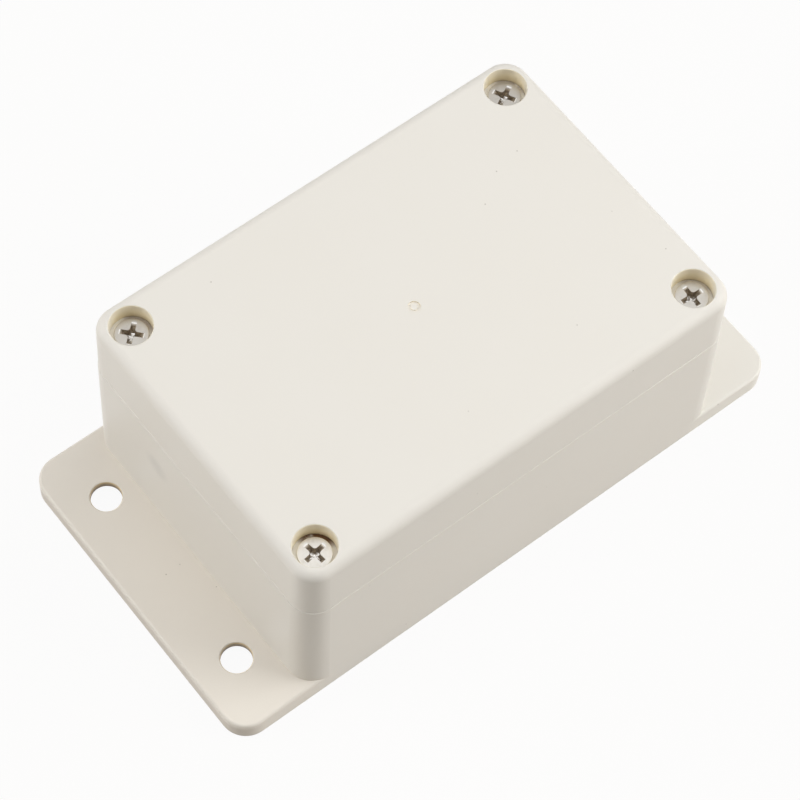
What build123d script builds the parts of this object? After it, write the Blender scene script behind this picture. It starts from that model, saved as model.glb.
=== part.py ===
from build123d import *
import os
from math import radians, tan

# A sealed plastic project box: a moulded base with a fixing ear at each end, a moulded lid,
# a rubber seal in the lid's groove, four lid screws and the four brass inserts they turn into.
# The origin is the centre of the flat underside. +X runs along the box to the right, +Y to the back,
# and +Z up to the lid. All sizes are in millimetres and angles in degrees.

# Outline shared by the base and the lid, at the joint line between them
body_length = 100.0
body_width = 68.0
corner_radius = 5.2
base_height = 34.0
lid_height = 14.0

# Base shell: its walls spread towards the ears, because it leaves its mould upwards
base_draft = 0.57
wall_thickness = 2.6
floor_thickness = 2.6
floor_fillet = 1.0
rim_bevel = 0.25

# Fixing ears, flush with the long walls: a plate on a skirt, hollow below with ribs across
ear_length = 15.5
ear_thickness = 4.4
ear_plate_thickness = 1.6
ear_skirt_thickness = 2.2
ear_rib_thickness = 1.6
ear_rib_apart = 21.0
ear_room_corner_radius = 1.0
ear_corner_radius = 5.2
ear_edge_radius = 0.6
ear_hole_radius = 3.1
ear_hole_from_end = 9.0
ear_hole_from_side = 13.25
ear_hole_bevel = 0.2

# Corner posts that carry the inserts; the inner wall runs round inside them
screw_inset = 6.3
post_wall = 3.1
post_blend_radius = 1.2

# Tongue on the base's rim, which presses into the seal
tongue_from_wall = 0.4
tongue_thickness = 1.0
tongue_height = 2.0
tongue_bevel = 0.2

# Bosses on the floor for a circuit board
boss_from_end = 14.4
boss_from_side = 7.4
boss_radius = 3.0
boss_height = 5.0
boss_pilot_radius = 1.2
boss_pilot_depth = 6.0

# Lid shell
lid_draft = 1.0
lid_set_back = 0.1
lid_top_thickness = 2.6
lid_edge_radius = 2.2
lid_lip_from_wall = 0.8
lid_lip_relief = 0.2
lid_ceiling_fillet = 1.0

# Groove in the lid's rim and the seal that lies in it
groove_clearance = 0.2
seal_height = 1.4
seal_side_gap = 0.05

# Screw pockets in the lid
pocket_depth = 4.0
pocket_side_clearance = 0.95
pocket_rim_bevel = 0.15
screw_hole_clearance = 0.25

# Moulding gate mark in the middle of the lid
gate_radius = 1.2
gate_depth = 0.3
gate_nub_radius = 0.65
gate_nub_height = 0.18

# Lid screws: thin flat head with a cross recess
thread_radius = 1.75
screw_end_past_insert = 0.1
screw_end_bevel = 0.45
head_radius = 3.2
head_height = 1.05
head_edge_radius = 0.12
recess_radius = 2.3
recess_depth = 1.75
recess_floor_radius = 0.85
recess_slot_width = 0.95
recess_middle_radius = 1.1
recess_middle_floor_radius = 0.4

# Turn of each screw's cross recess, as the screws were left: left back, right back, right front, left front
recess_turns = (42.0, 28.0, 86.0, 8.0)

# Brass inserts pressed into the corner posts
insert_radius = 2.5
insert_length = 8.0
insert_sink = 0.4
insert_thread_clearance = 0.05
insert_seat_clearance = 0.02
insert_waist_depth = 0.35
insert_waist_height = 1.2
insert_knurl_count = 24
insert_knurl_depth = 0.15
insert_mouth_bevel = 0.25
room_below_screw = 1.4
room_beside_screw = 0.25

# Heights and places that follow from the sizes above
box_height = base_height + lid_height
base_spread = (base_height - ear_thickness) * tan(radians(base_draft))
screw_x = body_length / 2 - screw_inset
screw_y = body_width / 2 - screw_inset
screw_places = ((-screw_x, screw_y), (screw_x, screw_y), (screw_x, -screw_y), (-screw_x, -screw_y))
post_radius = insert_radius + post_wall
pocket_radius = head_radius + pocket_side_clearance
head_seat_z = box_height - pocket_depth
insert_top_z = base_height - insert_sink
insert_bottom_z = insert_top_z - insert_length
screw_end_z = insert_bottom_z - screw_end_past_insert
screw_length = head_seat_z - screw_end_z
insert_bore_radius = thread_radius + insert_thread_clearance
ear_hole_x = body_length / 2 + ear_length - ear_hole_from_end
ear_hole_y = body_width / 2 + base_spread - ear_hole_from_side
ear_room_start = body_length / 2 + base_spread
ear_room_end = body_length / 2 + ear_length - ear_skirt_thickness
ear_room_width = body_width + 2 * base_spread - 2 * ear_skirt_thickness
ear_room_height = ear_thickness - ear_plate_thickness
boss_x = body_length / 2 - wall_thickness - boss_from_end
boss_y = body_width / 2 - wall_thickness - boss_from_side
boss_top_z = floor_thickness + boss_height


def four_places(x, y):
    return [Pos(sx * x, sy * y) for sx in (-1, 1) for sy in (-1, 1)]


def body_area(grow=0.0):
    """Outline of the body, grown outwards all round."""
    return RectangleRounded(body_length + 2 * grow, body_width + 2 * grow, corner_radius + grow)


def cavity_area():
    """Plan of the room inside the base: a rectangle whose corners are taken up by the posts."""
    area = Rectangle(body_length - 2 * wall_thickness, body_width - 2 * wall_thickness)
    for place in four_places(screw_x, screw_y):
        area -= place * Circle(post_radius)
    for place in four_places(body_length / 2, body_width / 2):
        area -= place * Rectangle(2 * screw_inset, 2 * screw_inset)
    return fillet(area.vertices(), post_blend_radius)


def line_around(distance):
    """Area inside a line that lies this far outside the inner wall, or inside it if negative."""
    return offset(cavity_area(), amount=distance)


def band(inner, outer):
    """Closed strip between two lines around the inner wall."""
    return line_around(outer) - line_around(inner)


def upright(radius, bottom, top):
    """Round bar from one height to another."""
    return Pos(0, 0, (bottom + top) / 2) * Cylinder(radius, top - bottom)


def flared_hole(radius, bottom, top, bevel):
    """Cutter for a round hole whose upper edge is bevelled."""
    mouth = Pos(0, 0, top - bevel / 2) * Cone(radius, radius + bevel, bevel)
    return upright(radius, bottom, top) + mouth


def top_edges(solid):
    return solid.faces().sort_by(Axis.Z)[-1].edges()


def bottom_edges(solid):
    return solid.faces().sort_by(Axis.Z)[0].edges()


def round_edges_at(solid, radius, height):
    """Circular edges of one radius at one height."""
    rings = solid.edges().filter_by(GeomType.CIRCLE)
    return [e for e in rings if abs(e.radius - radius) < 1e-3 and abs(e.center().Z - height) < 1e-3]


def base_outside():
    walls = extrude(body_area(base_spread), base_height - ear_thickness, taper=base_draft)
    walls = Pos(0, 0, ear_thickness) * chamfer(top_edges(walls), rim_bevel)
    foot = extrude(body_area(base_spread), ear_thickness)
    ears = extrude(
        RectangleRounded(body_length + 2 * ear_length, body_width + 2 * base_spread, ear_corner_radius),
        ear_thickness,
    )
    ears = fillet(top_edges(ears), ear_edge_radius)
    return walls + foot + ears


def ear_room():
    """Room under the right ear, left open below, with its ribs standing in it."""
    middle = (ear_room_start + ear_room_end) / 2
    length = ear_room_end - ear_room_start
    area = Pos(middle, 0) * RectangleRounded(length, ear_room_width, ear_room_corner_radius)
    for side in (-1, 1):
        area -= Pos(middle, side * ear_rib_apart / 2) * Rectangle(length, ear_rib_thickness)
    return extrude(area, ear_room_height)


def make_base():
    base = base_outside()
    ear_hollow = ear_room()
    base -= ear_hollow + Rot(0, 0, 180) * ear_hollow
    room = extrude(cavity_area(), base_height - floor_thickness)
    base -= Pos(0, 0, floor_thickness) * fillet(bottom_edges(room), floor_fillet)
    for place in four_places(ear_hole_x, ear_hole_y):
        base -= place * flared_hole(ear_hole_radius, 0, ear_thickness, ear_hole_bevel)
    tongue = extrude(band(tongue_from_wall, tongue_from_wall + tongue_thickness), tongue_height)
    base += Pos(0, 0, base_height) * chamfer(top_edges(tongue), tongue_bevel)
    for place in four_places(boss_x, boss_y):
        base += place * upright(boss_radius, floor_thickness, boss_top_z)
        base -= place * upright(boss_pilot_radius, boss_top_z - boss_pilot_depth, boss_top_z)
    insert_seat = upright(insert_radius + insert_seat_clearance, insert_bottom_z, base_height)
    screw_room = upright(thread_radius + room_beside_screw, screw_end_z - room_below_screw, base_height)
    for place in four_places(screw_x, screw_y):
        base -= place * (insert_seat + screw_room)
    return base


def make_lid():
    lid = extrude(body_area(-lid_set_back), lid_height, taper=lid_draft)
    lid = fillet(top_edges(lid), lid_edge_radius)
    room = extrude(line_around(-lid_lip_from_wall), lid_height - lid_top_thickness)
    lid -= fillet(top_edges(room), lid_ceiling_fillet)
    groove_inner = tongue_from_wall - groove_clearance
    groove_outer = tongue_from_wall + tongue_thickness + groove_clearance
    lid -= extrude(line_around(groove_inner), lid_lip_relief)
    lid -= extrude(band(groove_inner, groove_outer), tongue_height + seal_height)
    pocket = flared_hole(pocket_radius, lid_height - pocket_depth, lid_height, pocket_rim_bevel)
    screw_hole = upright(thread_radius + screw_hole_clearance, 0, lid_height)
    for place in four_places(screw_x, screw_y):
        lid -= place * (pocket + screw_hole)
    lid -= upright(gate_radius, lid_height - gate_depth, lid_height)
    nub = upright(gate_nub_radius, lid_height - gate_depth, lid_height - gate_depth + gate_nub_height)
    lid += fillet(top_edges(nub), gate_nub_height / 2)
    return Pos(0, 0, base_height) * lid


def make_seal():
    inner = tongue_from_wall - groove_clearance + seal_side_gap
    outer = tongue_from_wall + tongue_thickness + groove_clearance - seal_side_gap
    return Pos(0, 0, base_height + tongue_height) * extrude(band(inner, outer), seal_height)


def cross_recess():
    """Cutter for the cross recess, with its mouth at height zero."""
    funnel = Pos(0, 0, -recess_depth / 2) * Cone(recess_floor_radius, recess_radius, recess_depth)
    slot_long = Box(2 * recess_radius, recess_slot_width, 2 * recess_depth)
    slot_wide = Box(recess_slot_width, 2 * recess_radius, 2 * recess_depth)
    middle = Pos(0, 0, -recess_depth / 2) * Cone(
        recess_middle_floor_radius, recess_middle_radius, recess_depth
    )
    return (funnel & (slot_long + slot_wide)) + middle


def make_screw(turn):
    """Lid screw with its head seated at height zero and its shank below."""
    head = fillet(top_edges(upright(head_radius, 0, head_height)), head_edge_radius)
    shank = chamfer(bottom_edges(upright(thread_radius, -screw_length, 0)), screw_end_bevel)
    return head + shank - Pos(0, 0, head_height) * Rot(0, 0, turn) * cross_recess()


def make_insert():
    """Knurled brass insert with its top at height zero."""
    insert = upright(insert_radius, -insert_length, 0)
    waist = upright(insert_radius, -insert_waist_height / 2, insert_waist_height / 2)
    waist -= upright(insert_radius - insert_waist_depth, -insert_waist_height, insert_waist_height)
    insert -= Pos(0, 0, -insert_length / 2) * waist
    tooth_gap = Pos(insert_radius, 0, -insert_length / 2) * Rot(0, 0, 45) * Box(
        insert_knurl_depth * 2**0.5, insert_knurl_depth * 2**0.5, insert_length
    )
    for n in range(insert_knurl_count):
        insert -= Rot(0, 0, 360 * n / insert_knurl_count) * tooth_gap
    insert -= upright(insert_bore_radius, -insert_length, 0)
    return chamfer(round_edges_at(insert, insert_bore_radius, 0), insert_mouth_bevel)


os.makedirs("parts", exist_ok=True)
place_names = ("left_back", "right_back", "right_front", "left_front")
pieces = {"base": make_base(), "lid": make_lid(), "seal": make_seal()}
insert = make_insert()
for name, turn, (x, y) in zip(place_names, recess_turns, screw_places):
    pieces["lid_screw_" + name] = Pos(x, y, head_seat_z) * make_screw(turn)
    pieces["insert_" + name] = Pos(x, y, insert_top_z) * insert
for name, piece in pieces.items():
    export_step(piece, f"parts/{name}.step")
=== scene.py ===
from collections import namedtuple
from functools import reduce
from math import ceil, cos, pi, radians, sin

import bpy
from bpy.props import FloatProperty, FloatVectorProperty, IntProperty, PointerProperty
from mathutils import Matrix, Vector


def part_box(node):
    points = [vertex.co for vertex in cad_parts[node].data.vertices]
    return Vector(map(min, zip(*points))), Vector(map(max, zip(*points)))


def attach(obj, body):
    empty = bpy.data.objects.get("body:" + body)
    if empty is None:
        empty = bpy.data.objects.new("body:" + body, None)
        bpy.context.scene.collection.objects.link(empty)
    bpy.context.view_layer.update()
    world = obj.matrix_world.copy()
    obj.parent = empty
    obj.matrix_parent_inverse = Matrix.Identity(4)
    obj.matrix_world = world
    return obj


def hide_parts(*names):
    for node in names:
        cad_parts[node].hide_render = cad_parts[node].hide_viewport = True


bl_info = {
    "name": "Sealed Project Box",
    "version": (1, 0, 0),
    "blender": (4, 5, 0),
    "location": "3D View > Sidebar > Project Box",
    "description": "Finishes a moulded project box: plastic, seal, lid screws, brass inserts and the studio",
    "category": "Object",
}

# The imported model, with every length in metres and +Z up
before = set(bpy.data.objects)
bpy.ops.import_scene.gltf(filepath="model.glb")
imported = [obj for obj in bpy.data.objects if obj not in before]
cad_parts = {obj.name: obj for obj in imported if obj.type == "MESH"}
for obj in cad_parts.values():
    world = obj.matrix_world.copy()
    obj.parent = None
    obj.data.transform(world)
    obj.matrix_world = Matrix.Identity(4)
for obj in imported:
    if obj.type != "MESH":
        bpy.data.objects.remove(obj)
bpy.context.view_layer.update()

MM = 0.001

# The four corners, named as the screws and inserts are, with each cross recess as it was left, in degrees
CORNERS = ("left_back", "right_back", "right_front", "left_front")
RECESS_TURNS = dict(zip(CORNERS, (42.0, 28.0, 86.0, 8.0)))

# Each soft lamp's azimuth and elevation in degrees, and its power in watts
LAMPS = {
    "Overhead": (-41.5, 89.0, 1.98),
    "Camera high": (-41.5, 55.0, 0.14),
    "Left front": (273.5, 30.0, 0.79),
    "Left back high": (228.5, 55.0, 0.30),
    "Left back": (228.5, 30.0, 2.32),
    "Left back low": (228.5, 8.0, 1.01),
    "Right back high": (138.5, 55.0, 0.12),
    "Right high": (93.5, 55.0, 1.07),
    "Right front high": (48.5, 55.0, 0.42),
    "Right front": (48.5, 30.0, 3.19),
    "Right front low": (48.5, 8.0, 1.09),
}

# Heights that the pieces share, read from the frame
LID_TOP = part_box("lid")[1].z
SCREW_END, SCREW_TOP = (corner.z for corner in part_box("lid_screw_left_back"))
INSERT_BOTTOM, INSERT_TOP = (corner.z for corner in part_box("insert_left_back"))


def corner_place(corner):
    """Where a corner's screw and insert stand, seen from above."""
    low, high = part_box("lid_screw_" + corner)
    return (low + high) / 2


SCREW_X, SCREW_Y, _ = corner_place("right_back")

# The lid's screw pockets and the ears' holes: centre, radius, and the heights of mouth and floor
Holes = namedtuple("Holes", "x y radius top bottom")
POCKETS = Holes(x=SCREW_X, y=SCREW_Y, radius=4.15 * MM, top=LID_TOP, bottom=LID_TOP - 4.0 * MM)
EAR_HOLES = Holes(x=56.5 * MM, y=21.05 * MM, radius=3.1 * MM, top=4.4 * MM, bottom=2.8 * MM)

# Where the body's end walls meet the ears, and where the left ear ends
BODY_END = 50.35 * MM
EAR_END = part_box("base")[0].x

# The moulding gate mark in the middle of the lid
GATE_RADIUS = 1.2 * MM
GATE_DEPTH = 0.3 * MM

# How much brown grime and painted shade each pocket has round its screw head, and on which side, in degrees
# from +X
GRIME_AND_SHADE = {
    "left_back": (0.55, 28.0),
    "right_back": (0.45, 34.0),
    "right_front": (0.38, 34.0),
    "left_front": (1.0, 46.0),
}

# How high the grime and painted shade climb, how wide their patches are, and the cosines between which they
# fade to the sides
GRIME_AND_SHADE_HEIGHT = 0.6 * MM
GRIME_AND_SHADE_GRAIN = 1.2 * MM
GRIME_AND_SHADE_FADE = (0.45, 0.88)

# The direction from the camera's side across a pocket, seen from above; the pockets' walls on the far side
# take painted shade
FAR_SIDE = radians(48.5)

# Painted shade of a sink mark on the left wall of the base: its place, its reach, its core and its strength
SINK_SHADE = (-50.1 * MM, 12.2 * MM, 23.3 * MM)
SINK_SHADE_REACH = 4.2 * MM
SINK_SHADE_CORE = 0.6 * MM
SINK_SHADE_STRENGTH = 0.36

# How much painted shade darkens each screw's head, and how much residue and painted shade cover the steep
# walls of its recess
HEAD_SHADE = {"left_back": 0.58, "right_back": 0.69, "right_front": 0.42, "left_front": 0.0}
RESIDUE_AND_SHADE = 0.87

# The flat share of a thread, how steeply its flanks fall, and half the share of a knurl that is groove
THREAD_CREST = 0.16
THREAD_STEEPNESS = 1.45
KNURL_GROOVE = 0.1

# Edges under this angle are shaded smooth
SHARP_EDGE = radians(32.0)

# Tolerances: for a turned surface, for heights and radii on a moulded wall, and for closing a seam
HAIR = 0.01 * MM
SKIN = 0.05 * MM
WALL_SKIN = 0.06 * MM
SEAM_GAP = 0.002 * MM


def math_method(operation):
    """A method of Term that adds one Math node."""
    return lambda number, *others: number.maths(operation, *others)


class Term:
    """A number inside a node tree. Sums, products and powers of terms add Math nodes."""

    def __init__(self, tree, socket):
        self.tree = tree
        self.socket = socket

    def maths(self, operation, *others):
        node = self.tree.nodes.new("ShaderNodeMath")
        node.operation = operation
        for place, value in enumerate((self, *others)):
            if isinstance(value, Term):
                self.tree.links.new(value.socket, node.inputs[place])
            else:
                node.inputs[place].default_value = value
        return Term(self.tree, node.outputs[0])

    __add__ = math_method("ADD")
    __sub__ = math_method("SUBTRACT")
    __mul__ = math_method("MULTIPLY")
    __truediv__ = math_method("DIVIDE")
    __pow__ = math_method("POWER")
    size = math_method("ABSOLUTE")
    fraction = math_method("FRACT")
    below = math_method("LESS_THAN")
    above = math_method("GREATER_THAN")
    least = math_method("MINIMUM")
    most = math_method("MAXIMUM")

    def ramp(self, start, end):
        """Zero before start, one after end, and smooth between them."""
        node = self.tree.nodes.new("ShaderNodeMapRange")
        node.interpolation_type = "SMOOTHSTEP"
        self.tree.links.new(self.socket, node.inputs["Value"])
        for name, value in (("From Min", start), ("From Max", end)):
            if isinstance(value, Term):
                self.tree.links.new(value.socket, node.inputs[name])
            else:
                node.inputs[name].default_value = value
        return Term(self.tree, node.outputs["Result"])

    def inverse(self):
        return (self * -1.0) + 1.0


def total(terms):
    """The sum of several terms."""
    return reduce(Term.__add__, terms)


def add_node(tree, kind, inputs=None, **settings):
    """Adds a node. Its inputs are named, and each is a value, a Term or another node's output."""
    node = tree.nodes.new(kind)
    for name, value in settings.items():
        setattr(node, name, value)
    for name, value in (inputs or {}).items():
        socket = next(s for s in node.inputs if s.name == name and s.enabled)
        if isinstance(value, Term):
            value = value.socket
        if isinstance(value, bpy.types.NodeSocket):
            tree.links.new(value, socket)
        else:
            socket.default_value = value
    return node


def term(tree, node, output=0):
    return Term(tree, node.outputs[output])


def axes_of(tree, vector):
    """The three coordinates of a vector, as terms."""
    split = add_node(tree, "ShaderNodeSeparateXYZ", {"Vector": vector})
    return [term(tree, split, n) for n in range(3)]


def point_axes(tree):
    """Each point's own coordinates in a Geometry Nodes tree."""
    return axes_of(tree, tree.nodes.new("GeometryNodeInputPosition").outputs[0])


def normal_axes(tree):
    """The direction in which the surface faces, in a material's tree."""
    return axes_of(tree, tree.nodes.new("ShaderNodeTexCoord").outputs["Normal"])


def distance_from(x, y, at_x, at_y):
    """Distance from an upright axis, seen from above."""
    dx = x - at_x
    dy = y - at_y
    return (dx * dx + dy * dy) ** 0.5


# Objects and plain meshes

def add_object(name, data):
    """Puts a mesh, a camera or a lamp in the scene, at the origin."""
    added = bpy.data.objects.new(name, data)
    bpy.context.scene.collection.objects.link(added)
    return added


def profile_mesh(name, points):
    """A line of points in the plane of radius (x) and height (z), for the trees to turn."""
    mesh = bpy.data.meshes.new(name)
    edges = [(n, n + 1) for n in range(len(points) - 1)]
    mesh.from_pydata([(r, 0.0, z) for r, z in points], edges, [])
    return mesh


def rounded_corner(centre, radius, start, end, steps):
    """Points of an arc in the plane of radius and height, with its angles in degrees."""
    angles = [radians(start + (end - start) * n / steps) for n in range(steps + 1)]
    return [(centre[0] + radius * cos(a), centre[1] + radius * sin(a)) for a in angles]


def even_heights(bottom, top, step):
    """Heights from bottom to top, both included, about one step apart."""
    count = max(1, ceil((top - bottom) / step))
    return [bottom + (top - bottom) * n / count for n in range(count + 1)]


def loft(name, rings):
    """A closed solid skinned over rings of points that run anticlockwise, from the lowest ring up."""
    count = len(rings[0])
    faces = [tuple(reversed(range(count)))]
    for level in range(len(rings) - 1):
        low, high = level * count, (level + 1) * count
        faces += [(low + n, low + (n + 1) % count, high + (n + 1) % count, high + n) for n in range(count)]
    faces.append(tuple(range((len(rings) - 1) * count, len(rings) * count)))
    mesh = bpy.data.meshes.new(name)
    mesh.from_pydata([point for ring in rings for point in ring], [], faces)
    return mesh


# Geometry Nodes trees

def new_tree(name, **inputs):
    """A Geometry Nodes tree whose inputs are listed by kind, and its input and output nodes."""
    tree = bpy.data.node_groups.new(name, "GeometryNodeTree")
    for kind, names in inputs.items():
        for input_name in names:
            tree.interface.new_socket(input_name, in_out="INPUT", socket_type="NodeSocket" + kind)
    tree.interface.new_socket("Geometry", in_out="OUTPUT", socket_type="NodeSocketGeometry")
    return tree, tree.nodes.new("NodeGroupInput"), tree.nodes.new("NodeGroupOutput")


def turned_tree():
    """Turns a profile round the Z axis: each step round is a copy of the profile, and the seam is closed."""
    tree, given, result = new_tree("Turned form", Geometry=["Profile"], Int=["Steps Around"])
    size = add_node(tree, "GeometryNodeAttributeDomainSize", {"Geometry": given.outputs["Profile"]})
    points = size.outputs["Point Count"]
    around = Term(tree, given.outputs["Steps Around"])
    grid = add_node(tree, "GeometryNodeMeshGrid", {"Vertices X": around + 1.0, "Vertices Y": points})
    index = term(tree, tree.nodes.new("GeometryNodeInputIndex"))
    step = (index / Term(tree, points)).maths("FLOOR")
    on_profile = index - step * Term(tree, points)
    position = tree.nodes.new("GeometryNodeInputPosition").outputs[0]
    sample = add_node(
        tree,
        "GeometryNodeSampleIndex",
        {"Geometry": given.outputs["Profile"], "Value": position, "Index": on_profile},
        data_type="FLOAT_VECTOR",
    )
    radius, _, height = axes_of(tree, sample.outputs[0])
    angle = step / around * (2 * pi)
    turned = add_node(
        tree,
        "ShaderNodeCombineXYZ",
        {"X": radius * angle.maths("COSINE"), "Y": radius * angle.maths("SINE"), "Z": height},
    )
    placed = add_node(
        tree, "GeometryNodeSetPosition", {"Geometry": grid.outputs["Mesh"], "Position": turned.outputs[0]}
    )
    closed = add_node(
        tree, "GeometryNodeMergeByDistance", {"Geometry": placed.outputs[0], "Distance": SEAM_GAP}
    )
    tree.links.new(closed.outputs[0], result.inputs[0])
    return tree


def turned_part(tree, given):
    """The turned form of a tree's own profile."""
    shape = bpy.data.node_groups.get("Turned form") or turned_tree()
    group = add_node(tree, "GeometryNodeGroup", node_tree=shape)
    for name in ("Profile", "Steps Around"):
        tree.links.new(given.outputs[name], group.inputs[name])
    return group.outputs[0]


def moved_outwards(tree, geometry, amount, selection):
    """Moves the selected points away from the Z axis by an amount that may differ between them."""
    x, y, _ = point_axes(tree)
    flat = add_node(tree, "ShaderNodeCombineXYZ", {"X": x, "Y": y})
    outwards = add_node(tree, "ShaderNodeVectorMath", operation="NORMALIZE")
    tree.links.new(flat.outputs[0], outwards.inputs[0])
    offset = add_node(tree, "ShaderNodeVectorMath", {"Scale": amount}, operation="SCALE")
    tree.links.new(outwards.outputs[0], offset.inputs[0])
    inputs = {"Geometry": geometry, "Selection": selection, "Offset": offset.outputs[0]}
    return add_node(tree, "GeometryNodeSetPosition", inputs).outputs[0]


def thread_share(tree, pitch):
    """How deep a right-hand thread is cut at each point: zero on the crest and one at the root."""
    x, y, z = point_axes(tree)
    turn = y.maths("ARCTAN2", x) / (2 * pi)
    ridge = ((z / pitch - turn).fraction() - 0.5).size() * 2.0
    return ((ridge.inverse() - THREAD_CREST) * THREAD_STEEPNESS).most(0.0).least(1.0)


def finish_tree(tree, geometry, given, result):
    """Shades the form, turns it, stands it in its place and gives it its material."""
    angle = term(tree, tree.nodes.new("GeometryNodeInputMeshEdgeAngle"))
    spin = add_node(tree, "ShaderNodeCombineXYZ", {"Z": given.outputs["Turn"]})
    steps = (
        ("GeometryNodeSetShadeSmooth", {"Shade Smooth": True}, {}),
        ("GeometryNodeSetShadeSmooth", {"Shade Smooth": angle.below(SHARP_EDGE)}, {"domain": "EDGE"}),
        ("GeometryNodeTransform", {"Rotation": spin.outputs[0]}, {}),
        ("GeometryNodeTransform", {"Translation": given.outputs["Place"]}, {}),
        ("GeometryNodeRealizeInstances", {}, {}),
        ("GeometryNodeSetMaterial", {"Material": given.outputs["Material"]}, {}),
    )
    for kind, inputs, settings in steps:
        geometry = add_node(tree, kind, {"Geometry": geometry, **inputs}, **settings).outputs[0]
    tree.links.new(geometry, result.inputs[0])


def screw_tree():
    """A lid screw: turned from its profile, threaded below its head, and cut by the cross recess."""
    tree, given, result = new_tree(
        "Lid screw",
        Geometry=["Profile"],
        Object=["Recess"],
        Int=["Steps Around"],
        Float=["Thread Pitch", "Thread Depth", "Thread Bottom", "Thread Top", "Turn"],
        Vector=["Place"],
        Material=["Material"],
    )
    pitch, depth, bottom, top = (
        Term(tree, given.outputs["Thread " + word]) for word in ("Pitch", "Depth", "Bottom", "Top")
    )
    z = point_axes(tree)[2]
    on_shank = z.above(bottom - HAIR) * z.below(top)
    fade = z.ramp(top, top - pitch)
    cut = thread_share(tree, pitch) * depth * fade * -1.0
    threaded = moved_outwards(tree, turned_part(tree, given), cut, on_shank)
    cutter = add_node(
        tree, "GeometryNodeObjectInfo", {"Object": given.outputs["Recess"]}, transform_space="ORIGINAL"
    )
    driven = add_node(tree, "GeometryNodeMeshBoolean", operation="DIFFERENCE", solver="EXACT")
    tree.links.new(threaded, driven.inputs["Mesh 1"])
    tree.links.new(cutter.outputs["Geometry"], driven.inputs["Mesh 2"])
    finish_tree(tree, driven.outputs["Mesh"], given, result)
    return tree


def insert_tree():
    """A brass insert: turned from its profile, knurled outside and threaded inside."""
    tree, given, result = new_tree(
        "Brass insert",
        Geometry=["Profile"],
        Int=["Steps Around", "Knurls"],
        Float=["Thread Pitch", "Thread Depth", "Bore Radius", "Mouth", "Knurl Depth", "Knurl Radius", "Turn"],
        Vector=["Place"],
        Material=["Material"],
    )
    pitch, depth = (Term(tree, given.outputs["Thread " + word]) for word in ("Pitch", "Depth"))
    knurl_depth, knurl_radius = (Term(tree, given.outputs["Knurl " + word]) for word in ("Depth", "Radius"))
    bore, mouth = (Term(tree, given.outputs[name]) for name in ("Bore Radius", "Mouth"))
    x, y, z = point_axes(tree)
    radius = distance_from(x, y, 0.0, 0.0)
    in_bore = radius.below(bore + HAIR) * z.below(mouth)
    fade = z.ramp(mouth, mouth - pitch)
    cut = thread_share(tree, pitch) * depth * fade
    threaded = moved_outwards(tree, turned_part(tree, given), cut, in_bore)
    turn = y.maths("ARCTAN2", x) / (2 * pi) * Term(tree, given.outputs["Knurls"])
    groove = ((turn + 0.5).fraction() - 0.5).size().below(KNURL_GROOVE)
    on_rim = radius.above(knurl_radius - HAIR)
    knurled = moved_outwards(tree, threaded, groove * knurl_depth * -1.0, on_rim)
    finish_tree(tree, knurled, given, result)
    return tree


def grow(name, mesh, tree, values):
    """Runs a tree on a mesh and returns what it makes as a plain piece at the origin."""
    source = add_object(name + "_source", mesh)
    modifier = source.modifiers.new("Shape", "NODES")
    modifier.node_group = tree
    for item in tree.interface.items_tree:
        if item.in_out == "INPUT" and item.name in values:
            modifier[item.identifier] = values[item.name]
    graph = bpy.context.evaluated_depsgraph_get()
    grown = bpy.data.meshes.new_from_object(
        source.evaluated_get(graph), preserve_all_data_layers=True, depsgraph=graph
    )
    source.modifiers.remove(modifier)
    bpy.data.objects.remove(source)
    if not grown.polygons:
        raise RuntimeError(f"the tree {tree.name} made no faces for {name}")
    grown.name = name
    return add_object(name, grown)


# What the materials share

def empty_tree(owner):
    """The node tree of a material or of the world, emptied."""
    owner.use_nodes = True
    owner.node_tree.nodes.clear()
    return owner.node_tree


def new_material(name):
    """A material with an empty tree, its surface shader and the object's own coordinates."""
    material = bpy.data.materials.new(name)
    tree = empty_tree(material)
    shader = tree.nodes.new("ShaderNodeBsdfPrincipled")
    output = tree.nodes.new("ShaderNodeOutputMaterial")
    tree.links.new(shader.outputs[0], output.inputs["Surface"])
    place = tree.nodes.new("ShaderNodeTexCoord").outputs["Object"]
    return material, tree, shader, place


def noise(tree, place, grain, detail=2.0, roughness=0.5):
    """Cloudy noise from 0 to 1, whose grain is the size of one cloud in metres."""
    node = add_node(
        tree,
        "ShaderNodeTexNoise",
        {"Vector": place, "Scale": 1.0 / grain, "Detail": detail, "Roughness": roughness},
    )
    return term(tree, node)


def rgba(colour):
    """A colour with its fourth number. A node's output stays as it is."""
    return colour if isinstance(colour, bpy.types.NodeSocket) else (*colour, 1.0)


def blend_colours(tree, share, first, second):
    """The first colour where the share is 0 and the second where it is 1."""
    inputs = {"Factor": share, "A": rgba(first), "B": rgba(second)}
    node = add_node(tree, "ShaderNodeMix", inputs, data_type="RGBA")
    return next(s for s in node.outputs if s.enabled)


def paint_surface(tree, shader, colour, rough):
    """Gives the shader its colour and its roughness."""
    tree.links.new(colour, shader.inputs["Base Color"])
    tree.links.new(rough.socket, shader.inputs["Roughness"])


def raise_surface(tree, shader, height, depth, normal=None):
    """Gives the shader a bump of a height from 0 to 1, whose full depth is in metres."""
    inputs = {"Height": height, "Distance": depth, "Strength": 1.0}
    if normal is not None:
        inputs["Normal"] = normal
    bump = add_node(tree, "ShaderNodeBump", inputs)
    tree.links.new(bump.outputs[0], shader.inputs["Normal"])
    return bump.outputs[0]


# Plastic of the base and the lid

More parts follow.
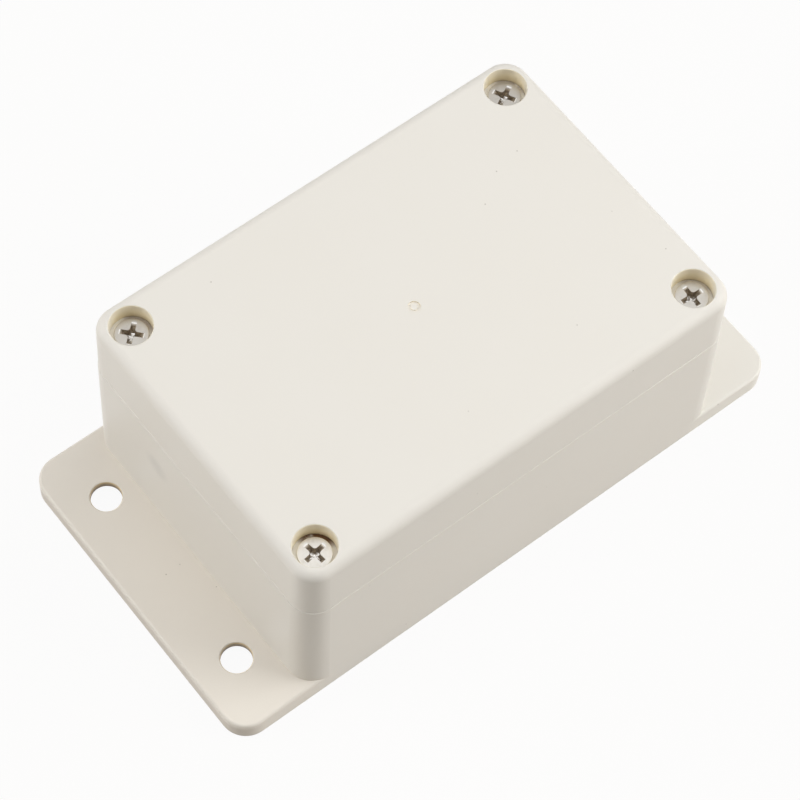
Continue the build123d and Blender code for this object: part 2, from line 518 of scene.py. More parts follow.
def specks(tree, look, place):
    """Sparse dark specks in the plastic, and none beside the gate mark."""
    x, y, _ = axes_of(tree, place)
    clear = distance_from(x, y, 0.0, 0.0).above(GATE_RADIUS + 0.8 * MM)
    cells = add_node(tree, "ShaderNodeTexVoronoi", {"Vector": place, "Scale": 1.0 / look.speck_spacing})
    picked = axes_of(tree, cells.outputs["Color"])[0].below(look.speck_share)
    radius = look.speck_radius / look.speck_spacing
    return term(tree, cells, "Distance").ramp(radius, radius / 2) * picked * clear * look.speck_strength


def on_walls_of(x, y, z, holes):
    """One on the walls of four like holes that stand at the corners of a rectangle."""
    inside = distance_from(x.size(), y.size(), holes.x, holes.y).below(holes.radius + WALL_SKIN)
    return inside * z.above(holes.bottom + SKIN) * z.below(holes.top)


def on_gate_wall(tree, x, y, z):
    """One on the upright wall of the moulding gate mark."""
    upright = normal_axes(tree)[2].size().ramp(0.9, 0.4)
    inside = distance_from(x, y, 0.0, 0.0).below(GATE_RADIUS + SKIN)
    return upright * inside * z.above(LID_TOP - GATE_DEPTH - 2 * SKIN)


def on_shaded_far_side(tree):
    """One on the walls that face the camera from behind a screw, and zero on those beside it: these far walls
    take the pockets' painted shade.
    """
    normal_x, normal_y, _ = normal_axes(tree)
    return (normal_x * -cos(FAR_SIDE) - normal_y * sin(FAR_SIDE)).ramp(0.05, 0.75)


def grime_and_shade_in_pocket(corner, x, y):
    """The grime and painted shade on its own side of one corner's pocket."""
    strength, side = GRIME_AND_SHADE[corner]
    centre = corner_place(corner)
    reach = distance_from(x, y, centre.x, centre.y)
    along = (x - centre.x) * cos(radians(side)) + (y - centre.y) * sin(radians(side))
    return reach.below(POCKETS.radius + 2 * SKIN) * (along / reach).ramp(*GRIME_AND_SHADE_FADE) * strength


def grime_and_shade_share(tree, place, x, y, z):
    """Grime and painted shade in the pockets: most on the floor and the foot of the wall, and on one side of
    the screw.
    """
    patches = noise(tree, place, GRIME_AND_SHADE_GRAIN, detail=3.0).ramp(0.15, 0.5)
    low = z.ramp(POCKETS.bottom + GRIME_AND_SHADE_HEIGHT, POCKETS.bottom + 2 * SKIN) * z.above(POCKETS.bottom - SKIN)
    return low * total(grime_and_shade_in_pocket(corner, x, y) for corner in CORNERS) * patches


def sink_shade_share(tree, place, x, y, z):
    """Painted shade of a sink mark: a soft grey patch on the left-hand wall of the base."""
    dx, dy, dz = (axis - at for axis, at in zip((x, y, z), SINK_SHADE))
    distance = (dx * dx + dy * dy + dz * dz) ** 0.5
    return distance.ramp(SINK_SHADE_REACH, SINK_SHADE_CORE) * noise(tree, place, 6 * MM) * SINK_SHADE_STRENGTH


def ear_light_and_shade(tree, look, x, z, tone):
    """Painted light on the fixing ears, warmer on the left ear and lighter on the right, and painted shade at
    the foot of the left ear's end.
    """
    low = z.ramp(EAR_HOLES.top + 0.7 * MM, EAR_HOLES.top + 0.1 * MM)
    outer, inner = BODY_END - 0.4 * MM, BODY_END - 9 * MM
    on_right = x.ramp(inner, outer) * low
    on_left = x.ramp(-outer, -inner).inverse() * low
    # Painted light: a lighter right ear and a warmer left ear
    tone = blend_colours(tree, on_right * look.ear_light_share, tone, look.right_ear_light_colour)
    tone = blend_colours(tree, on_left * look.ear_light_share, tone, look.left_ear_light_colour)
    # Painted shade at the foot of the left ear's end
    at_end = x.ramp(EAR_END + 0.5 * MM, EAR_END + 6.5 * MM).inverse()
    in_foot_shade = z.ramp(3.9 * MM, 2.4 * MM) * at_end
    return blend_colours(tree, in_foot_shade * look.ear_foot_shade_share, tone, look.ear_foot_shade_colour)


def lid_tones(tree, look, place, tone):
    """The lid's painted light and shade: warm bounce light on its gate mark's wall and its pockets' walls,
    painted shade on their far sides, and grime and painted shade at their feet.
    """
    x, y, z = axes_of(tree, place)
    # Painted shade: the gate mark's wall takes the pockets' warm bounce colour
    tone = blend_colours(tree, on_gate_wall(tree, x, y, z), tone, look.pocket_bounce_colour)
    # Painted bounce light on the pockets' walls, warmer towards the foot and darker on the far side
    depth = z.ramp(POCKETS.top, POCKETS.bottom)
    walls = blend_colours(tree, depth, look.pocket_bounce_colour, look.pocket_foot_bounce_colour)
    walls = blend_colours(tree, on_shaded_far_side(tree), look.pocket_side_bounce_colour, walls)
    tone = blend_colours(tree, on_walls_of(x, y, z, POCKETS), tone, walls)
    # Grime and painted shade at the pockets' feet
    return blend_colours(tree, grime_and_shade_share(tree, place, x, y, z), tone, look.grime_and_shade_colour)


def base_tones(tree, look, place, tone):
    """The base's painted light and shade: on its ears, on their holes' walls, and a sink mark's soft shade on
    its left wall.
    """
    x, y, z = axes_of(tree, place)
    tone = ear_light_and_shade(tree, look, x, z, tone)
    # Painted shade down the ear holes' walls
    depth = z.ramp(EAR_HOLES.top, EAR_HOLES.bottom)
    walls = blend_colours(tree, depth, look.ear_hole_mouth_shade_colour, look.ear_hole_foot_shade_colour)
    tone = blend_colours(tree, on_walls_of(x, y, z, EAR_HOLES), tone, walls)
    # Painted shade of a sink mark on the left wall
    return blend_colours(tree, sink_shade_share(tree, place, x, y, z), tone, look.sink_shade_colour)


def plastic(name, look, own_tones):
    """Warm off-white moulded plastic with faint clouds and specks, and a moulding's own tones."""
    material, tree, shader, place = new_material(name)
    cloud = noise(tree, place, look.cloud_size)
    tone = blend_colours(tree, cloud * look.tone_variation, look.colour, look.deep_colour)
    tone = own_tones(tree, look, place, tone)
    colour = blend_colours(tree, specks(tree, look, place), tone, look.speck_colour)
    sheen = noise(tree, place, look.sheen_size, detail=3.0)
    rough = sheen * look.roughness_variation + (look.roughness - look.roughness_variation / 2)
    paint_surface(tree, shader, colour, rough)
    shader.inputs["IOR"].default_value = 1.52
    waves = noise(tree, place, look.wave_size, detail=1.0)
    eased = raise_surface(tree, shader, waves, look.wave_depth)
    grain = noise(tree, place, look.grain_size, detail=3.0, roughness=0.6)
    raise_surface(tree, shader, grain, look.grain_depth, normal=eased)
    return material


# Rubber of the seal

def rubber(look):
    """Soft dark grey rubber."""
    material, tree, shader, place = new_material("Seal rubber")
    cloud = noise(tree, place, look.cloud_size, detail=3.0)
    tone = blend_colours(tree, cloud, look.colour, look.dusty_colour)
    paint_surface(tree, shader, tone, cloud * look.roughness_variation + look.roughness)
    shader.inputs["IOR"].default_value = 1.5
    raise_surface(tree, shader, noise(tree, place, look.grain_size, detail=3.0), look.grain_depth)
    return material


# Metal of the screws and inserts

def head_shade_share(tree, place):
    """How much painted shade darkens each screw's head."""
    x, y, _ = axes_of(tree, place)
    shares = []
    for corner, share in HEAD_SHADE.items():
        centre = corner_place(corner)
        shares.append(distance_from(x, y, centre.x, centre.y).below(POCKETS.radius) * share)
    return total(shares)


def recess_shade_and_glint_shares(tree, look, place):
    """Residue and painted shade on the recess's steep walls, and worn metal with a painted highlight on the
    slopes of its arms' ends.
    """
    x, y, z = axes_of(tree, place)
    facing = normal_axes(tree)[2].size()
    radius = distance_from(x.size(), y.size(), SCREW_X, SCREW_Y)
    inner = radius.ramp(look.recess_reach - 0.12 * MM, look.recess_reach - 0.5 * MM)
    steep = facing.ramp(0.88, 0.76)
    deep = z.ramp(SCREW_TOP - 0.02 * MM, SCREW_TOP - 0.18 * MM)
    sloping = facing.ramp(0.80, 0.86) * facing.ramp(0.99, 0.97)
    return inner * steep * deep * RESIDUE_AND_SHADE, sloping * radius.below(look.recess_reach + 0.3 * MM)


def screw_light_and_wear(tree, look, shader, place, tone, rough):
    """Paints shade on a screw's head, a highlight on the worn mouth of its recess, and residue with painted
    shade inside.
    """
    # Painted shade on each screw's head
    tone = blend_colours(tree, head_shade_share(tree, place), tone, look.head_shade_colour)
    residue_and_shade, bare_and_glint = recess_shade_and_glint_shares(tree, look, place)
    patches = noise(tree, place, 0.6 * MM, detail=3.0).ramp(0.35, 0.65)
    # Painted highlight and wear on the worn slopes of the arms' ends
    tone = blend_colours(tree, bare_and_glint * (patches * 0.4 + 0.6), tone, look.bare_and_glint_colour)
    # Residue and painted shade on the recess's steep walls
    recess_tone = blend_colours(tree, patches, look.dark_residue_and_shade_colour, look.pale_residue_and_shade_colour)
    tone = blend_colours(tree, residue_and_shade, tone, recess_tone)
    tree.links.new(residue_and_shade.inverse().socket, shader.inputs["Metallic"])
    inside = axes_of(tree, place)[2].ramp(SCREW_TOP - 0.03 * MM, SCREW_TOP - 0.08 * MM)
    rough = rough - inside * (look.roughness - look.recess_roughness) + residue_and_shade * 0.35
    return tone, rough


def metal(name, look, light_and_wear=None):
    """Plated or turned metal with fine scratches and faint stains, and, where given, its own wear with
    painted light and shade.
    """
    material, tree, shader, place = new_material(name)
    stains = noise(tree, place, 1.6 * MM, detail=4.0, roughness=0.6).ramp(0.42, 0.78)
    tone = blend_colours(tree, stains, look.colour, look.worn_colour)
    shader.inputs["Metallic"].default_value = 1.0
    rough = noise(tree, place, 0.7 * MM, detail=3.0) * 0.14 + (look.roughness - 0.07)
    if light_and_wear:
        tone, rough = light_and_wear(tree, look, shader, place, tone, rough)
    paint_surface(tree, shader, tone, rough)
    stretched = add_node(tree, "ShaderNodeMapping", {"Vector": place, "Scale": (1.0, 0.12, 1.0)})
    stretched.inputs["Rotation"].default_value = (0.0, 0.0, radians(25))
    scratches = noise(tree, stretched.outputs[0], 0.09 * MM, detail=3.0)
    raise_surface(tree, shader, scratches, look.scratch_depth)
    return material


# Settings, each declared by its kind

def a_colour(name, description, default):
    return FloatVectorProperty(
        name=name, description=description, default=default, min=0.0, max=1.0, subtype="COLOR"
    )


def a_share(name, description, default):
    return FloatProperty(name=name, description=description, default=default, min=0.0, max=1.0)


def a_length(name, description, millimetres):
    return FloatProperty(name=name, description=description, default=millimetres * MM, unit="LENGTH")


def an_angle(name, description, degrees):
    return FloatProperty(name=name, description=description, default=radians(degrees), subtype="ANGLE")


class PlasticSettings(bpy.types.PropertyGroup):
    colour: a_colour("Colour", "Colour of the moulded plastic", (0.8, 0.77, 0.712))
    deep_colour: a_colour("Deep colour", "Slightly deeper tone of its faint clouds", (0.77, 0.73, 0.65))
    # The pockets' wall colours are painted warm bounce light, warmer towards the foot, with painted shade on
    # the far side
    pocket_bounce_colour: a_colour("Pocket colour", "Screw pockets' walls at the mouth", (0.97, 0.885, 0.7))
    pocket_foot_bounce_colour: a_colour("Pocket foot colour", "Screw pockets' walls at the foot", (0.99, 0.87, 0.59))
    pocket_side_bounce_colour: a_colour("Pocket side colour", "Those walls beside a screw", (0.925, 0.868, 0.735))
    # The ear holes' wall colours are painted shade, darkening from the mouth to the foot
    ear_hole_mouth_shade_colour: a_colour("Ear hole colour", "Ear holes' walls at the mouth", (0.8, 0.61, 0.32))
    ear_hole_foot_shade_colour: a_colour(
        "Ear hole foot colour", "Ear holes' walls at the foot", (0.24, 0.15, 0.072)
    )
    # Grime and painted shade in the gap round the screw heads
    grime_and_shade_colour: a_colour("Grime colour", "Dirt in the gap round the screw heads", (0.16, 0.078, 0.03))
    # Painted light on the ears
    left_ear_light_colour: a_colour("Left ear colour", "Warmer tone of the left fixing ear", (0.832, 0.776, 0.692))
    right_ear_light_colour: a_colour(
        "Right ear colour", "Lighter tone of the right fixing ear", (0.862, 0.832, 0.764)
    )
    ear_light_share: a_share("Ear tone share", "How far the ears take on their own tones", 0.8)
    # Painted shade at the foot of the left ear's end
    ear_foot_shade_colour: a_colour("Foot colour", "Foot of the left ear's end", (0.64, 0.585, 0.505))
    ear_foot_shade_share: a_share("Foot tone share", "How far that end takes on its tone", 0.95)
    # Painted shade of a sink mark on the base's left wall
    sink_shade_colour: a_colour("Smudge colour", "Colour of the soft smudge on the base", (0.36, 0.345, 0.325))
    speck_colour: a_colour("Speck colour", "Colour of the sparse specks in the plastic", (0.23, 0.19, 0.14))
    speck_spacing: a_length("Speck spacing", "Size of the cells that may hold a speck", 3.0)
    speck_radius: a_length("Speck radius", "Radius of a speck", 0.2)
    speck_share: a_share("Speck share", "Share of the cells that hold a speck", 0.17)
    speck_strength: a_share("Speck strength", "How far a speck hides the plastic", 0.45)
    tone_variation: a_share("Tone variation", "Share of the deeper tone in the clouds", 0.35)
    cloud_size: a_length("Cloud size", "Size of those clouds", 22.0)
    roughness: a_share("Roughness", "Mean roughness of the satin surface", 0.42)
    roughness_variation: a_share("Roughness variation", "How far the roughness wanders", 0.06)
    sheen_size: a_length("Sheen size", "Size of the patches of like roughness", 6.0)
    wave_size: a_length("Wave size", "Size of the moulding's faint unevenness", 14.0)
    wave_depth: a_length("Wave depth", "Depth of that unevenness", 0.012)
    grain_size: a_length("Grain size", "Size of the mould's fine texture", 0.30)
    grain_depth: a_length("Grain depth", "Depth of the mould's fine texture", 0.004)


class SealSettings(bpy.types.PropertyGroup):
    colour: a_colour("Colour", "Colour of the rubber", (0.05, 0.05, 0.052))
    dusty_colour: a_colour("Dusty colour", "Paler tone of its dusty clouds", (0.085, 0.084, 0.086))
    cloud_size: a_length("Cloud size", "Size of those clouds", 3.0)
    roughness: a_share("Roughness", "Least roughness of the rubber", 0.62)
    roughness_variation: a_share("Roughness variation", "What the clouds add to it", 0.15)
    grain_size: a_length("Grain size", "Size of the rubber's fine grain", 0.25)
    grain_depth: a_length("Grain depth", "Depth of the rubber's fine grain", 0.012)


class ScrewSettings(bpy.types.PropertyGroup):
    thread_radius: a_length("Thread radius", "Outer radius of the thread", 1.75)
    thread_pitch: a_length("Thread pitch", "Rise of the thread in one turn", 0.6)
    thread_depth: a_length("Thread depth", "Height of the thread's ridge", 0.34)
    head_radius: a_length("Head radius", "Radius of the thin flat head", 3.2)
    head_height: a_length("Head height", "Height of the head above its seat", 1.05)
    edge_radius: a_length("Edge radius", "Rounding of the head's upper edge", 0.12)
    foot_bevel: a_length("Foot bevel", "Bevel of the head's lower edge", 0.06)
    crown: a_length("Crown", "How far the head's rim lies below its middle", 0.02)
    rim_width: a_length("Rim width", "Width of the sloping ring round the head's face", 0.14)
    rim_drop: a_length("Rim drop", "How far that ring slopes down", 0.015)
    end_bevel: a_length("End bevel", "Bevel at the end of the shank", 0.45)
    recess_reach: a_length("Recess reach", "Length of each arm of the cross at the mouth", 2.3)
    recess_width: a_length("Recess width", "Width of the arms at the mouth", 0.95)
    recess_depth: a_length("Recess depth", "Depth of the cross recess", 1.75)
    recess_corner: a_length("Recess corner", "Rounding between the arms at the mouth", 0.55)
    recess_flare: a_length("Recess flare", "Worn bevel round the recess's mouth", 0.05)
    recess_wear: a_length("Recess wear", "Length of the worn slope at the end of each arm", 0.21)
    recess_wear_depth: a_length("Recess wear depth", "Depth of that slope", 0.12)
    steps_around: IntProperty(name="Steps around", description="Faces round the screw", default=48, min=12)
    steps_per_turn: IntProperty(name="Steps per turn", description="Rings to one pitch", default=8, min=4)
    colour: a_colour("Colour", "Colour of the nickel plating", (0.87, 0.842, 0.79))
    worn_colour: a_colour("Worn colour", "Tone of its faint stains", (0.735, 0.697, 0.64))
    # Painted shade that darkens some screw heads
    head_shade_colour: a_colour("Tarnish colour", "Plating where it has dulled", (0.45, 0.425, 0.392))
    # Worn metal with a painted highlight on the slopes of the arms' ends
    bare_and_glint_colour: a_colour("Bare colour", "Metal worn bright by the driver", (0.97, 0.96, 0.94))
    # Residue and painted shade in the recess, dark and pale
    dark_residue_and_shade_colour: a_colour("Dirt colour", "Dark residue in the recess", (0.15, 0.1, 0.055))
    pale_residue_and_shade_colour: a_colour("Residue colour", "Pale residue in the recess", (0.43, 0.345, 0.235))
    roughness: a_share("Roughness", "Mean roughness of the plating", 0.42)
    recess_roughness: a_share("Recess roughness", "Mean roughness inside the recess", 0.22)
    scratch_depth: a_length("Scratch depth", "Depth of the fine scratches", 0.0020)


class InsertSettings(bpy.types.PropertyGroup):
    radius: a_length("Radius", "Outer radius over the knurls", 2.5)
    bore_radius: a_length("Bore radius", "Radius inside the thread's crests", 1.8)
    thread_depth: a_length("Thread depth", "Depth of the thread cut into the bore", 0.3)
    mouth_bevel: a_length("Mouth bevel", "Bevel at the upper end of the bore", 0.25)
    edge_bevel: a_length("Edge bevel", "Bevel of the outer edges", 0.08)
    waist_depth: a_length("Waist depth", "Depth of the plain ring between the knurled bands", 0.35)
    waist_height: a_length("Waist height", "Height of that ring", 1.2)
    knurls: IntProperty(name="Knurls", description="Grooves round each band", default=24, min=6)
    knurl_depth: a_length("Knurl depth", "Depth of the grooves", 0.15)
    colour: a_colour("Colour", "Colour of the brass", (0.78, 0.57, 0.27))
    worn_colour: a_colour("Worn colour", "Tone of its faint stains", (0.62, 0.42, 0.18))
    roughness: a_share("Roughness", "Mean roughness of the brass", 0.26)
    scratch_depth: a_length("Scratch depth", "Depth of the fine scratches", 0.0010)


class StudioSettings(bpy.types.PropertyGroup):
    azimuth: an_angle("Camera azimuth", "Turn of the camera round the box", -41.54)
    elevation: an_angle("Camera elevation", "Angle of the camera above the floor", 61.61)
    roll: an_angle("Camera roll", "Tilt of the camera about its own line of sight", 4.18)
    distance: a_length("Camera distance", "From the camera to its target", 598.66)
    target: FloatVectorProperty(
        name="Camera target", description="The point that the camera looks at",
        default=(2.26 * MM, 4.60 * MM, 2.67 * MM), subtype="TRANSLATION", unit="LENGTH",
    )
    lens: FloatProperty(name="Lens", description="Focal length in millimetres", default=136.97, min=1.0)
    lamp_power: FloatProperty(name="Lamp power", description="Scales every lamp", default=1.0, min=0.0)
    lamp_distance: a_length("Lamp distance", "From the box to each lamp", 800.0)
    lamp_size: a_length("Lamp size", "Width and height of each soft lamp", 500.0)
    room: FloatProperty(name="Room", description="Brightness of the room's own light", default=0.0, min=0.0)
    floor_colour: a_colour("Floor colour", "Pale colour of the floor", (0.64, 0.585, 0.51))
    shadow: a_share("Shadow", "Share of the floor's look that takes the box's shadow", 0.06)


# Operators

class PieceOperator:
    """What the operators share: each makes or finishes one group of pieces."""

    bl_options = {"REGISTER", "UNDO"}


def give_material(node, material):
    """Puts one material in every slot of a carried-over piece."""
    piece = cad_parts[node]
    if not piece.material_slots:
        raise RuntimeError(f"{piece.name} has no material slot")
    for slot in piece.material_slots:
        slot.material = material


class PROJECTBOX_OT_mouldings(PieceOperator, bpy.types.Operator):
    """Gives the base and the lid their moulded plastic"""

    bl_idname = "projectbox.mouldings"
    bl_label = "Finish Base and Lid"

    def execute(self, context):
        look = context.scene.projectbox_plastic
        give_material("lid", plastic("Lid plastic", look, lid_tones))
        give_material("base", plastic("Base plastic", look, base_tones))
        return {"FINISHED"}


class PROJECTBOX_OT_seal(PieceOperator, bpy.types.Operator):
    """Gives the seal its rubber"""

    bl_idname = "projectbox.seal"
    bl_label = "Finish Seal"

    def execute(self, context):
        give_material("seal", rubber(context.scene.projectbox_seal))
        return {"FINISHED"}


def screw_profile(sizes, length):
    """Half section of a screw from its end up to the middle of its head, with its seat at height 0."""
    face_edge = sizes.head_height - sizes.crown
    rim = face_edge - sizes.rim_drop
    shank_end = sizes.thread_radius - sizes.end_bevel
    step = sizes.thread_pitch / sizes.steps_per_turn
    points = [(0.0, -length), (shank_end, -length)]
    points += [(sizes.thread_radius, z) for z in even_heights(sizes.end_bevel - length, -SKIN, step)]
    points += [(sizes.thread_radius, 0.0)]
    points += [(sizes.head_radius - sizes.foot_bevel, 0.0), (sizes.head_radius, sizes.foot_bevel)]
    centre = (sizes.head_radius - sizes.edge_radius, rim - sizes.edge_radius)
    points += rounded_corner(centre, sizes.edge_radius, start=0.0, end=90.0, steps=7)
    inner = sizes.head_radius - sizes.edge_radius - sizes.rim_width
    rings = 4
    for n in range(rings + 1):
        share = 1.0 - n / rings
        points.append((inner * share, face_edge + sizes.crown * (1.0 - share * share)))
    return points


def cross_outline(reach, width, corner, height, corner_steps=5):
    """A cross seen from above, anticlockwise, with rounded corners between its arms."""
    half = width / 2
    points = []
    for quarter in range(4):
        spin = Matrix.Rotation(quarter * pi / 2, 4, "Z")
        outline = [(reach, half)]
        for n in range(corner_steps + 1):
            angle = -pi / 2 - (pi / 2) * n / corner_steps
            outline.append((half + corner * (1 + cos(angle)), half + corner * (1 + sin(angle))))
        outline.append((half, reach))
        points += [spin @ Vector((x, y, height)) for x, y in outline]
    return points


def recess_cutter(sizes):
    """The shape of the driver's tip: four tapering arms that meet in a blunt point."""
    reach, width, corner = sizes.recess_reach, sizes.recess_width, sizes.recess_corner
    flare, wear, wear_depth = sizes.recess_flare, sizes.recess_wear, sizes.recess_wear_depth
    floor_reach, floor_width = 0.46 * reach, 0.88 * width
    tip_reach, tip_width, tip_depth = 0.6 * floor_reach, 0.55 * floor_width, 0.12 * MM
    top = sizes.head_height
    floor = top - sizes.recess_depth
    rings = [
        cross_outline(tip_reach, tip_width, 0.01 * MM, floor - tip_depth),
        cross_outline(floor_reach, floor_width, 0.06 * MM, floor),
        cross_outline(reach - wear, width, corner, top - wear_depth),
        cross_outline(reach, width + flare, corner, top),
        cross_outline(reach + wear, width + 2 * flare, corner, top + wear_depth),
    ]
    return loft("recess_cutter", rings)


class PROJECTBOX_OT_lid_screws(PieceOperator, bpy.types.Operator):
    """Makes the four threaded lid screws with their cross recesses"""

    bl_idname = "projectbox.lid_screws"
    bl_label = "Make Lid Screws"

    def execute(self, context):
        sizes = context.scene.projectbox_screws
        seat = SCREW_TOP - sizes.head_height
        length = seat - SCREW_END
        nickel = metal("Nickel plate", sizes, screw_light_and_wear)
        cutter = add_object("recess_cutter", recess_cutter(sizes))
        tree = screw_tree()
        for corner in CORNERS:
            name = "lid_screw_" + corner
            place = corner_place(corner)
            screw = grow(
                name + "_turned",
                profile_mesh(name, screw_profile(sizes, length)),
                tree,
                {
                    "Recess": cutter,
                    "Steps Around": sizes.steps_around,
                    "Thread Pitch": sizes.thread_pitch,
                    "Thread Depth": sizes.thread_depth,
                    "Thread Bottom": sizes.end_bevel - length,
                    "Thread Top": -2 * SKIN,
                    "Turn": radians(RECESS_TURNS[corner]),
                    "Place": (place.x, place.y, seat),
                    "Material": nickel,
                },
            )
            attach(screw, "screw_" + corner)
            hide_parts(name)
        bpy.data.objects.remove(cutter)
        return {"FINISHED"}


def insert_profile(sizes, pitch, length):
    """Closed half section of an insert, from its bore's foot round the outside, with its top at 0."""
    waist_radius = sizes.radius - sizes.waist_depth
    waist_low = -length / 2 - sizes.waist_height / 2
    waist_high = -length / 2 + sizes.waist_height / 2
    edge = sizes.edge_bevel
    points = [(sizes.bore_radius, -length), (sizes.radius - edge, -length), (sizes.radius, -length + edge)]
    points += [(sizes.radius, waist_low), (waist_radius, waist_low + edge), (waist_radius, waist_high - edge)]
    points += [(sizes.radius, waist_high), (sizes.radius, -edge), (sizes.radius - edge, 0.0)]
    points += [(sizes.bore_radius + sizes.mouth_bevel, 0.0)]
    rings_per_turn = 6
    bore = even_heights(-length, -sizes.mouth_bevel, pitch / rings_per_turn)
    points += [(sizes.bore_radius, z) for z in reversed(bore)]
    return points


class PROJECTBOX_OT_inserts(PieceOperator, bpy.types.Operator):
    """Makes the four knurled brass inserts that the screws turn into"""

    bl_idname = "projectbox.inserts"
    bl_label = "Make Brass Inserts"

    def execute(self, context):
        sizes = context.scene.projectbox_inserts
        pitch = context.scene.projectbox_screws.thread_pitch
        length = INSERT_TOP - INSERT_BOTTOM
        steps_per_knurl = 4
        brass = metal("Brass", sizes)
        tree = insert_tree()
        for corner in CORNERS:
            name = "insert_" + corner
            place = corner_place(corner)
            insert = grow(
                name + "_turned",
                profile_mesh(name, insert_profile(sizes, pitch, length)),
                tree,
                {
                    "Steps Around": sizes.knurls * steps_per_knurl,
                    "Thread Pitch": pitch,
                    "Thread Depth": sizes.thread_depth,
                    "Bore Radius": sizes.bore_radius,
                    "Mouth": -sizes.mouth_bevel - SKIN,
                    "Knurls": sizes.knurls,
                    "Knurl Depth": sizes.knurl_depth,
                    "Knurl Radius": sizes.radius,
                    "Turn": 0.0,
                    "Place": (place.x, place.y, INSERT_TOP),
                    "Material": brass,
                },
            )
            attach(insert, "base")
            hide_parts(name)
        return {"FINISHED"}


def direction(azimuth, elevation):
    """Unit vector from the box towards a lamp or the camera. Azimuth 0 stands in front of the box."""
    return Vector((sin(azimuth) * cos(elevation), -cos(azimuth) * cos(elevation), sin(elevation)))


def make_camera(studio):
    """The camera at the photograph's angle, with its slight roll."""
    back = direction(studio.azimuth, studio.elevation)
    across = Vector((0, 0, 1)).cross(back).normalized()
    up = back.cross(across)
    turn = Matrix((across, up, back)).transposed() @ Matrix.Rotation(studio.roll, 3, "Z")
    camera = bpy.data.cameras.new("Camera")
    camera.lens = studio.lens
    camera.sensor_width = 36.0
    camera.clip_start, camera.clip_end = 0.01, 20.0
    holder = add_object("Camera", camera)
    holder.matrix_world = Matrix.Translation(Vector(studio.target) + back * studio.distance) @ turn.to_4x4()
    bpy.context.scene.camera = holder


def make_lamp(name, azimuth, elevation, distance, size, power):
    """A soft square lamp that faces the box and isn't mirrored in it."""
    lamp = bpy.data.lights.new(name, "AREA")
    lamp.shape = "SQUARE"
    lamp.size = size
    lamp.energy = power
    holder = add_object(name, lamp)
    away = direction(radians(azimuth), radians(elevation))
    holder.location = away * distance
    holder.rotation_euler = away.to_track_quat("Z", "Y").to_euler()
    holder.visible_glossy = False


def seen_white(tree):
    """One for rays that look at the surroundings, straight, in a reflection or through glass."""
    rays = tree.nodes.new("ShaderNodeLightPath")
    kinds = ("Camera", "Glossy", "Transmission")
    return reduce(Term.most, [Term(tree, rays.outputs[f"Is {kind} Ray"]) for kind in kinds])


def mix_shaders(tree, share, first, second):
    """The first shader where the share is 0 and the second where it is 1."""
    mixed = add_node(tree, "ShaderNodeMixShader", {"Fac": share})
    tree.links.new(first.outputs[0], mixed.inputs[1])
    tree.links.new(second.outputs[0], mixed.inputs[2])
    return mixed


def make_floor(studio):
    """A pale floor that is seen as white, keeps the box's shadow and is clear from below."""
    mesh = bpy.data.meshes.new("Floor")
    half = 1.5
    corners = [(-half, -half, 0), (half, -half, 0), (half, half, 0), (-half, half, 0)]
    mesh.from_pydata(corners, [], [(0, 1, 2, 3)])
    floor = add_object("Floor", mesh)
    material = bpy.data.materials.new("Floor")
    tree = empty_tree(material)
    paint = add_node(tree, "ShaderNodeBsdfDiffuse", {"Color": rgba(studio.floor_colour)})
    white = add_node(tree, "ShaderNodeEmission", {"Color": (1.0, 1.0, 1.0, 1.0), "Strength": 1.0})
    lit = mix_shaders(tree, seen_white(tree) * (1.0 - studio.shadow), paint, white)
    below = Term(tree, tree.nodes.new("ShaderNodeNewGeometry").outputs["Backfacing"])
    one_sided = mix_shaders(tree, below, lit, tree.nodes.new("ShaderNodeBsdfTransparent"))
    output = tree.nodes.new("ShaderNodeOutputMaterial")
    tree.links.new(one_sided.outputs[0], output.inputs["Surface"])
    floor.data.materials.append(material)


def make_room(studio):
    """The room's even light, seen as a white background."""
    world = bpy.data.worlds.new("Room")
    bpy.context.scene.world = world
    tree = empty_tree(world)
    strength = seen_white(tree) * (1.0 - studio.room) + studio.room
    white = {"Color": (1.0, 1.0, 1.0, 1.0), "Strength": strength}
    background = add_node(tree, "ShaderNodeBackground", white)
    output = tree.nodes.new("ShaderNodeOutputWorld")
    tree.links.new(background.outputs[0], output.inputs["Surface"])


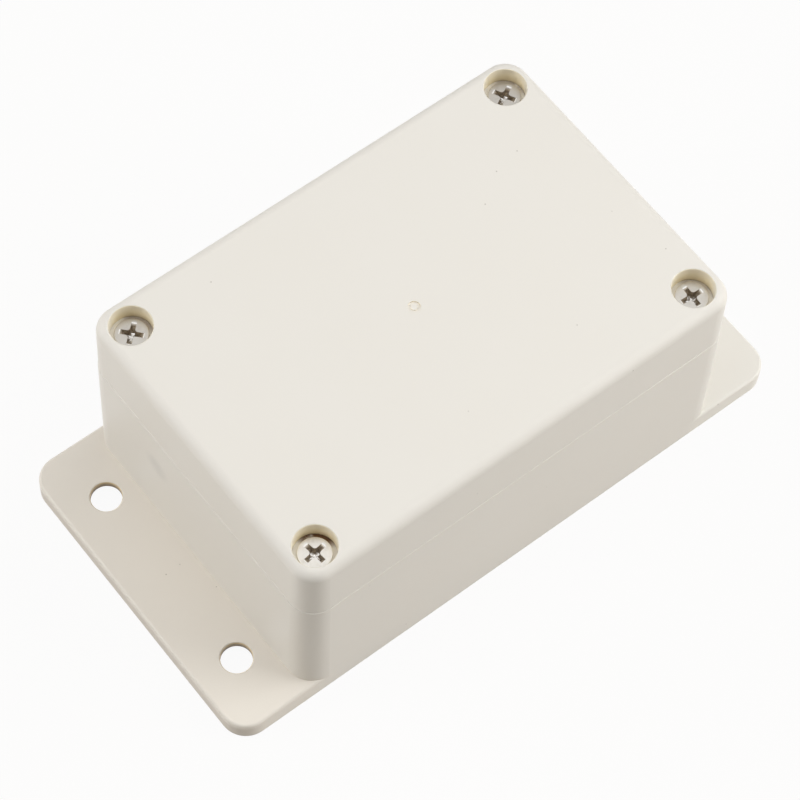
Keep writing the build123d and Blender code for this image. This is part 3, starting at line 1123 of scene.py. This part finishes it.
class PROJECTBOX_OT_studio(PieceOperator, bpy.types.Operator):
    """Sets up the camera, the soft lamps, the room and the pale floor"""

    bl_idname = "projectbox.studio"
    bl_label = "Set Up Studio"

    def execute(self, context):
        studio = context.scene.projectbox_studio
        context.scene.view_settings.view_transform = "Standard"
        make_camera(studio)
        make_floor(studio)
        make_room(studio)
        for name, (azimuth, elevation, power) in LAMPS.items():
            power *= studio.lamp_power
            make_lamp(name, azimuth, elevation, studio.lamp_distance, studio.lamp_size, power)
        return {"FINISHED"}


# The panel that lists the operators and their settings

class PROJECTBOX_PT_sidebar(bpy.types.Panel):
    """Lists the project box's pieces in the sidebar"""

    bl_idname = "PROJECTBOX_PT_sidebar"
    bl_label = "Project Box"
    bl_space_type = "VIEW_3D"
    bl_region_type = "UI"
    bl_category = "Project Box"

    def draw(self, context):
        for operator, settings in STEPS:
            box = self.layout.box()
            box.operator(operator.bl_idname)
            group = getattr(context.scene, settings)
            for name in group.__annotations__:
                box.prop(group, name)


GROUPS = {
    "projectbox_plastic": PlasticSettings,
    "projectbox_seal": SealSettings,
    "projectbox_screws": ScrewSettings,
    "projectbox_inserts": InsertSettings,
    "projectbox_studio": StudioSettings,
}

# The operators in the order in which they run, each with its settings
STEPS = (
    (PROJECTBOX_OT_mouldings, "projectbox_plastic"),
    (PROJECTBOX_OT_seal, "projectbox_seal"),
    (PROJECTBOX_OT_lid_screws, "projectbox_screws"),
    (PROJECTBOX_OT_inserts, "projectbox_inserts"),
    (PROJECTBOX_OT_studio, "projectbox_studio"),
)


def register():
    for name, group in GROUPS.items():
        bpy.utils.register_class(group)
        setattr(bpy.types.Scene, name, PointerProperty(type=group))
    for operator, _ in STEPS:
        bpy.utils.register_class(operator)
    bpy.utils.register_class(PROJECTBOX_PT_sidebar)


def unregister():
    bpy.utils.unregister_class(PROJECTBOX_PT_sidebar)
    for operator, _ in reversed(STEPS):
        bpy.utils.unregister_class(operator)
    for name, group in reversed(GROUPS.items()):
        delattr(bpy.types.Scene, name)
        bpy.utils.unregister_class(group)


def main():
    register()
    for operator, _ in STEPS:
        group, name = operator.bl_idname.split(".")
        getattr(getattr(bpy.ops, group), name)()


if __name__ == "__main__":
    main()
